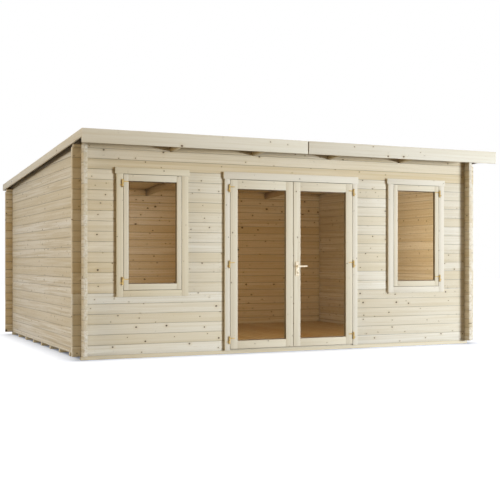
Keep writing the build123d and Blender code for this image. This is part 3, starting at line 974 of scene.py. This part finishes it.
@dataclass
class Roof:
    """Roof boards along the cabin with lapped strips of felt on them."""

    tree: ShapeTree
    nails: ShapeTree
    board_width: float = 0.110
    gap: float = 1.0 * MILLIMETRE
    rounding: float = 2.5 * MILLIMETRE
    strip: float = 0.92
    lap: float = 0.075
    felt: float = 2.4 * MILLIMETRE
    felt_rounding: float = 0.6 * MILLIMETRE
    nail_radius: float = 5.0 * MILLIMETRE
    nail_height: float = 1.2 * MILLIMETRE
    nail_pitch: float = 0.1
    nail_line: float = 0.3

    def build(self) -> None:
        """Makes the boards, the felt and its nails."""
        self.boards()
        self.strips()

    def slope(self, node: str) -> tuple[Vector, Vector, float, float]:
        """Measures a sloping slab.

        Args:
            node: The slab's node.

        Returns:
            Its middle, its size along the slope, its angle and its thickness.
        """
        places = np.array([v.co for v in frame["nodes"][node].data.vertices])
        low, high = places.min(0), places.max(0)
        front = places[places[:, 1] < low[1] + MILLIMETRE]
        back = places[places[:, 1] > high[1] - MILLIMETRE]
        fall = front[:, 2].max() - back[:, 2].max()
        depth = high[1] - low[1]
        angle = -math.atan2(fall, depth)
        thickness = (front[:, 2].max() - front[:, 2].min()) * math.cos(angle)
        size = Vector((high[0] - low[0], math.hypot(fall, depth), thickness))
        return Vector((low + high) / 2), size, angle, thickness

    def boards(self) -> None:
        """Lays the roof boards in the deck's place and dresses them."""
        middle, size, angle, thickness = self.slope("roof_deck")
        run = size.y - thickness * abs(math.tan(angle))
        count = round(run / self.board_width)
        pitch = run / count
        mesh = self.tree.mesh("roof_boards", {
            "Length": size.x, "Width": pitch - self.gap, "Thickness": thickness, "Rounding": self.rounding,
            "Pitch": pitch, "Count": count, "Tilt": 0.0, "Seed": 11, "Turn": (angle, 0.0, 0.0),
            "Place": middle, "Material": FRAMING_SPRUCE.material()})
        settle("roof_boards", mesh, "roof_deck", Slot.FRAMING)

    def strips(self) -> None:
        """Laps the felt strips from the low back edge upwards and nails their laps."""
        middle, size, angle, thickness = self.slope("roof_felt")
        run = size.y - thickness * abs(math.tan(angle))
        count = math.ceil((run - self.lap) / (self.strip - self.lap))
        pitch = (run - self.lap) / count
        width = pitch + self.lap
        tilt = math.atan2(self.felt, pitch)
        mesh = self.tree.mesh("felt_strips", {
            "Length": size.x, "Width": width, "Thickness": self.felt, "Rounding": self.felt_rounding,
            "Pitch": pitch, "Count": count, "Tilt": tilt, "Seed": 5, "Turn": (angle, 0.0, 0.0),
            "Place": middle + Vector((0.0, 0.0, self.felt / 2)), "Material": MineralFelt().material()})
        settle("felt_strips", mesh, "roof_felt", Slot.FELT)
        in_row = round(size.x / self.nail_pitch)
        rise = 2 * self.felt + self.nail_height / 2
        nails = self.nails.mesh("felt_nails", {
            "Radius": self.nail_radius, "Height": self.nail_height, "Row Length": size.x - self.nail_pitch,
            "Rows Depth": (count - 1) * pitch, "Nails in Row": in_row, "Rows": count, "Turn": (angle, 0.0, 0.0),
            "Place": middle + Vector((0.0, width / 2 - self.nail_line * self.lap, rise)),
            "Material": Steel().material()})
        settle("felt_nails", nails, "roof_felt", Slot.FELT, stands_in=False)


@dataclass(frozen=True)
class HingeHalf:
    """Place and size of one half of a hinge, read from its solid."""

    axis: Vector
    radius: float
    height: float
    reach: float
    arm: Vector
    arm_place: Vector


@dataclass
class Hinges:
    """Hinges of the windows and doors, each half on the body that carries it."""

    tree: ShapeTree
    nodes: tuple[str, ...]
    finish: Brass = HINGE_BRASS
    reading: float = 0.2 * MILLIMETRE

    def halves(self, node: str) -> list[HingeHalf]:
        """Reads the halves of a node's hinges, from the lowest up.

        Args:
            node: The node.

        Returns:
            Its hinge halves.
        """
        mesh = eased_mesh(node, 0.0, 1)
        places = np.array([vertex.co for vertex in mesh.vertices])
        found = []
        for group in islands(mesh):
            solid = places[group]
            low, high = solid.min(0), solid.max(0)
            front = solid[solid[:, 1] < low[1] + self.reading]
            x = front[:, 0].mean()
            far = high[0] if high[0] - x > x - low[0] else low[0]
            end = solid[abs(solid[:, 0] - far) < self.reading]
            barrel = solid[abs(solid[:, 2] - low[2]) < self.reading]
            y = (barrel[:, 1].min() + barrel[:, 1].max()) / 2
            back = barrel[:, 1].max()
            middle = Vector((x, y, (front[:, 2].min() + front[:, 2].max()) / 2))
            foot, top = end.min(0), end.max(0)
            arm = Vector((abs(far - x), back - foot[1], top[2] - foot[2]))
            arm_place = Vector((0.0, (back + foot[1]) / 2 - y, (top[2] + foot[2]) / 2 - middle.z))
            height = front[:, 2].max() - front[:, 2].min()
            found.append(HingeHalf(middle, back - y, height, far - x, arm, arm_place))
        bpy.data.meshes.remove(mesh)
        return sorted(found, key=lambda half: half.axis.z)

    def build(self) -> None:
        """Makes the hinge halves of each node and dresses them."""
        for node in self.nodes:
            sides: dict[bool, list[HingeHalf]] = {}
            for half in self.halves(node):
                sides.setdefault(half.reach > 0, []).append(half)
            mesh = joined(f"{node}_brass", [self.row(node, row) for row in sides.values()])
            soften(mesh)
            settle(mesh.name, mesh, node, Slot.BRASS)

    def row(self, node: str, row: list[HingeHalf]) -> Mesh:
        """Makes equal halves, one above another.

        Args:
            node: The node that they are from.
            row: The halves.

        Returns:
            Their mesh.
        """
        first = row[0]
        step = (row[-1].axis.z - first.axis.z) / max(1, len(row) - 1)
        upper = first.arm_place.z > 0
        return self.tree.mesh(f"{node}_row", {
            "Barrel Radius": first.radius, "Barrel Height": first.height, "End Side": 1.0 if upper else -1.0,
            "Arm Reach": first.reach, "Arm Size": first.arm, "Arm Place": first.arm_place, "Count": len(row),
            "Step": step, "Place": first.axis, "Material": self.finish.material()})


@dataclass
class DoorHandle:
    """Lever with an outer and an inner plate, and the plates' screws."""

    nails: ShapeTree
    finish: Brass = HANDLE_BRASS
    plate_easing: float = 1.6 * MILLIMETRE
    lever_easing: float = 3.0 * MILLIMETRE
    easing_steps: int = 3
    screw_radius: float = 3.4 * MILLIMETRE
    screw_height: float = 1.0 * MILLIMETRE
    screw_inset: float = 11.0 * MILLIMETRE

    def build(self) -> None:
        """Makes the plates, the lever and the screws and dresses them."""
        plates = ("outer_handle_plate", "inner_handle_plate")
        for node in plates + ("door_lever",):
            easing = self.plate_easing if node in plates else self.lever_easing
            mesh = eased_mesh(node, easing, self.easing_steps)
            soften(mesh)
            mesh.materials.append(self.finish.material())
            settle(f"{node}_brass", mesh, node, Slot.BRASS)
        screws = joined("handle_screws", [self.screws(node, side) for node, side in zip(plates, (-1, 1))])
        soften(screws)
        settle(screws.name, screws, plates[0], Slot.BRASS, stands_in=False)

    def screws(self, node: str, side: int) -> Mesh:
        """Makes the two screws of a plate.

        Args:
            node: The plate's node.
            side: Minus one for the outer face, plus one for the inner.

        Returns:
            Their mesh.
        """
        low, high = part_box(node)
        face = low.y if side < 0 else high.y
        return self.nails.mesh(f"{node}_screws", {
            "Radius": self.screw_radius, "Height": self.screw_height, "Row Length": 0.0,
            "Rows Depth": high.z - low.z - 2 * self.screw_inset, "Nails in Row": 1, "Rows": 2,
            "Turn": (-side * math.pi / 2, 0.0, 0.0),
            "Place": Vector(((low.x + high.x) / 2, face + side * self.screw_height / 2, (low.z + high.z) / 2)),
            "Material": self.finish.material()})


@dataclass
class GlazingBeads:
    """Beads that hold a pane in its sash or leaf from the inside."""

    pane: str
    sash: str
    finish: Spruce = JOINERY_SPRUCE
    seat: float = 8.0 * MILLIMETRE
    width: float = 9.0 * MILLIMETRE
    set_back: float = 4.0 * MILLIMETRE
    arc_steps: int = 5
    arc_share: float = 0.9

    def profile(self, depth: float) -> list[tuple[float, float]]:
        """Draws a bead's section, rounded on its free edge.

        Args:
            depth: How far it stands off the glass.

        Returns:
            Points as distance in from the sash and distance off the glass.
        """
        turns = [math.pi / 2 * step / self.arc_steps for step in range(self.arc_steps + 1)]
        radius = self.arc_share * self.width
        inner, foot = self.width - radius, depth - radius
        arc = [(inner + radius * math.cos(turn), foot + radius * math.sin(turn)) for turn in turns]
        return [(0.0, 0.0), (self.width, 0.0), *arc, (0.0, depth)]

    def build(self) -> None:
        """Makes the beads on the inner face of the pane and dresses them."""
        low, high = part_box(self.pane)
        shape = bmesh.new()
        inset = Vector((self.seat, 0.0, self.seat))
        section = self.profile(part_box(self.sash)[1].y - high.y - self.set_back)
        self.ring(shape, low + inset, high - inset, high.y, section)
        bmesh.ops.recalc_face_normals(shape, faces=shape.faces)
        mesh = bpy.data.meshes.new(f"{self.sash}_beads")
        shape.to_mesh(mesh)
        shape.free()
        give_grain(mesh, mesh.name)
        mesh.materials.append(self.finish.material())
        settle(mesh.name, mesh, self.sash, Slot.JOINERY, stands_in=False)

    def ring(self, shape: bmesh.types.BMesh, low: Vector, high: Vector, face: float,
             section: list[tuple[float, float]]) -> None:
        """Adds four mitred beads round an opening.

        Args:
            shape: The mesh under construction.
            low: Lowest corner of the opening.
            high: Highest corner of the opening.
            face: Depth of the glass face that they lie on.
            section: Points of the bead's section.
        """
        corners = [(low.x, low.z, 1, 1), (high.x, low.z, -1, 1), (high.x, high.z, -1, -1), (low.x, high.z, 1, -1)]
        for first, second in zip(corners, corners[1:] + corners[:1]):
            ends = [[shape.verts.new((x + a * to_x, face + b, z + a * to_z)) for a, b in section]
                    for x, z, to_x, to_z in (first, second)]
            near, far = ends
            for k in range(len(section)):
                after = (k + 1) % len(section)
                shape.faces.new((near[k], near[after], far[after], far[k]))
            shape.faces.new(near[::-1])
            shape.faces.new(far)


@dataclass
class Panes:
    """Glass of the windows and doors, which keeps the shape of its nodes."""

    nodes: tuple[str, ...]
    finish: Glass = Glass()

    def dress(self) -> None:
        """Gives the panes their glass."""
        material = self.finish.material()
        for node in self.nodes:
            for slot in frame["nodes"][node].material_slots:
                slot.material = material
            LOG.info("%s keeps its node", node)


@dataclass(frozen=True)
class Lamp:
    """A soft lamp that aims at a point."""

    name: str
    place: Vector
    aim: Vector
    width: float
    height: float
    power: float
    colour: Colour
    spread: float = math.pi

    def build(self) -> None:
        """Hangs the lamp, which itself shows neither in the picture nor in glass."""
        light = bpy.data.lights.new(self.name, "AREA")
        light.shape = "RECTANGLE"
        light.size, light.size_y = self.width, self.height
        light.energy, light.color, light.spread = self.power, self.colour, self.spread
        lamp = bpy.data.objects.new(self.name, light)
        lamp.location = self.place
        lamp.rotation_euler = (self.aim - self.place).to_track_quat("-Z", "Y").to_euler()
        lamp.visible_camera = lamp.visible_glossy = lamp.visible_transmission = False
        bpy.context.scene.collection.objects.link(lamp)


LAMPS = (
    Lamp("front_lamp", Vector((11.9, -15.0, 1.5)), Vector((0.2, -1.84, 1.2)), 5.0, 2.4, 1060.0, (0.785, 0.876, 1.0),
         math.radians(96)),
    Lamp("left_lamp", Vector((-14.0, -1.5, 3.2)), Vector((-2.6, 0.2, 1.6)), 2.5, 2.5, 564.0, (0.69, 0.81, 1.0)),
    Lamp("warm_lamp", Vector((-14.0, -5.0, 2.2)), Vector((-0.5, -1.8, 1.3)), 2.5, 2.5, 270.0, (1.0, 0.7, 0.18)),
    Lamp("back_lamp", Vector((4.0, 15.0, 3.2)), Vector((0.0, 2.1, 1.3)), 2.5, 2.5, 600.0, (0.99, 0.99, 1.0)),
    Lamp("room_lamp", Vector((0.2, -1.55, 1.25)), Vector((0.2, 2.0, 1.25)), 4.4, 1.5, 34.5, (1.0, 0.79, 0.51)),
    Lamp("corner_lamp", Vector((1.5, -1.2, 1.4)), Vector((2.5, -0.9, 1.3)), 0.6, 1.4, 2.5, (0.95, 0.96, 0.85)),
)


@dataclass
class Studio:
    """White floor, soft surrounding light, lamps, and the camera."""

    floor_size: float = 60.0
    floor_bounce: Colour = (0.24, 0.23, 0.21)
    floor_roughness: float = 0.9
    floor_glow: float = 0.875
    floor_paper: Colour = (0.43, 0.50, 0.68)
    # Reach and samples of the floor's painted contact shadow.
    floor_painted_shadow_reach: float = 0.32
    floor_painted_shadow_samples: int = 8
    surround: Colour = (1.0, 0.80, 0.54)
    surround_strength: float = 0.36
    eye: Vector = Vector((-5.218, -12.024, 1.095))
    eye_turn: float = math.radians(-24.59)
    lens: float = 68.5
    sensor: float = 36.0
    rise: float = 0.0198

    def build(self) -> None:
        """Sets up the floor, the light and the camera."""
        self.floor()
        self.world()
        for lamp in LAMPS:
            lamp.build()
        self.camera()
        bpy.context.scene.view_settings.view_transform = "Standard"

    def seen_share(self, tree: Wiring) -> Socket:
        """Tells what the camera sees, straight or in glass and metal, from what only lights the cabin.

        Args:
            tree: Wiring of the floor or the world.

        Returns:
            A socket that is 1 where it is seen.
        """
        rays = tree.add("ShaderNodeLightPath").outputs
        seen = tree.math("MAXIMUM", rays["Is Camera Ray"], rays["Is Glossy Ray"])
        return tree.math("MAXIMUM", seen, rays["Is Transmission Ray"])

    def floor(self) -> None:
        """Lays the white floor, which keeps a faint shadow of the cabin from the lamps and has a painted contact
        shadow close to it.
        """
        half = self.floor_size / 2
        mesh = bpy.data.meshes.new("studio_floor")
        corners = [(-half, -half, 0.0), (half, -half, 0.0), (half, half, 0.0), (-half, half, 0.0)]
        mesh.from_pydata(corners, [], [(0, 1, 2, 3)])
        material, tree, shader = new_material("studio_floor_white")
        tree.feed(shader, {"Base Color": opaque(self.floor_bounce), "Roughness": self.floor_roughness})
        # Painted contact shadow: an ambient occlusion node darkens the floor's glow close to the cabin.
        near = tree.add("ShaderNodeAmbientOcclusion", {"Color": opaque(WHITE), "Distance": self.floor_painted_shadow_reach},
                        samples=self.floor_painted_shadow_samples).outputs["Color"]
        glow = tree.add("ShaderNodeEmission", {"Color": near, "Strength": self.floor_glow}).outputs[0]
        lit = tree.add("ShaderNodeBsdfDiffuse", {"Color": opaque(self.floor_paper)}).outputs[0]
        paper = tree.add("ShaderNodeAddShader", {0: glow, 1: lit}).outputs[0]
        shown = tree.add("ShaderNodeMixShader", {0: self.seen_share(tree), 1: shader.outputs[0], 2: paper})
        tree.feed(material.node_tree.nodes["Material Output"], {"Surface": shown.outputs[0]})
        mesh.materials.append(material)
        new_object("studio_floor", mesh)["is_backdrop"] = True

    def world(self) -> None:
        """Surrounds the cabin with soft light and shows white behind it."""
        world = bpy.data.worlds.new("studio_surround")
        world.use_nodes = True
        bpy.context.scene.world = world
        tree = Wiring(world.node_tree)
        soft = world.node_tree.nodes["Background"]
        tree.feed(soft, {"Color": opaque(self.surround), "Strength": self.surround_strength})
        white = tree.add("ShaderNodeBackground", {"Color": opaque(WHITE), "Strength": 1.0})
        shown = tree.add("ShaderNodeMixShader", {0: self.seen_share(tree), 1: soft.outputs[0], 2: white.outputs[0]})
        tree.feed(world.node_tree.nodes["World Output"], {"Surface": shown.outputs[0]})

    def camera(self) -> None:
        """Stands the camera where the photograph was taken, level and turned to the cabin."""
        view = bpy.data.cameras.new("photo_camera")
        view.lens, view.sensor_width, view.sensor_fit = self.lens, self.sensor, "HORIZONTAL"
        view.shift_y = self.rise
        camera = bpy.data.objects.new("photo_camera", view)
        camera.location = self.eye
        camera.rotation_euler = (math.pi / 2, 0.0, self.eye_turn)
        bpy.context.scene.collection.objects.link(camera)
        bpy.context.scene.camera = camera


TIMBERS = (
    Timbers(("front_low_logs_left", "front_low_logs_right", "front_corner_logs_right", "front_pier_logs_left",
             "front_pier_logs_right"), LOG_SPRUCE, Slot.LOGS),
    Timbers(("front_corner_logs_left", "front_header_logs", "front_top_log"), SHADED_LOG_SPRUCE, Slot.LOGS),
    Timbers(("left_wall_logs", "right_wall_logs"), SIDE_SPRUCE, Slot.LOGS),
    Timbers(("back_wall_logs", "back_top_log"), ROOM_SPRUCE, Slot.LOGS),
    Timbers(("left_window_frame", "left_window_sash", "right_window_frame", "right_window_sash", "door_frame",
             "door_threshold", "left_door_frame", "right_door_frame"), JOINERY_SPRUCE, Slot.JOINERY),
    Timbers(("right_window_trim", "door_trim"), LIT_JOINERY, Slot.JOINERY),
    Timbers(("left_window_trim",), SHADED_JOINERY, Slot.JOINERY),
    Timbers(("front_fascia_left", "front_fascia_right", "back_fascia", "left_bargeboard", "right_bargeboard"),
            TRIM_SPRUCE, Slot.ROOF_TRIM),
    Timbers(("bearers",), BEARER_SPRUCE, Slot.FRAMING),
    Timbers(("rafters",), FRAMING_SPRUCE, Slot.FRAMING),
)


def main() -> None:
    """Builds the cabin's pieces in order and the studio round them."""
    logging.basicConfig(level=logging.INFO, format="%(message)s")
    boards, nails = laid_boards_tree(), nail_rows_tree()
    for timbers in TIMBERS:
        timbers.build()
    FloorBoards(boards, nails).build()
    Roof(boards, nails).build()
    carriers = ("left_window", "right_window", "left_frame", "right_frame", "left_door", "right_door")
    Hinges(hinge_tree(), tuple(f"{carrier}_hinges" for carrier in carriers)).build()
    DoorHandle(nails).build()
    sashes = {"left_window": "sash", "right_window": "sash", "left_door": "frame", "right_door": "frame"}
    for part, sash in sashes.items():
        GlazingBeads(f"{part}_glass", f"{part}_{sash}").build()
    Panes(tuple(f"{part}_glass" for part in sashes)).dress()
    Studio().build()
    boxes = {"cad": CAD_BOX, "visual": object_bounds()}
    {name: [list(corner) for corner in box] for name, box in boxes.items()}


if __name__ == "__main__":
    main()
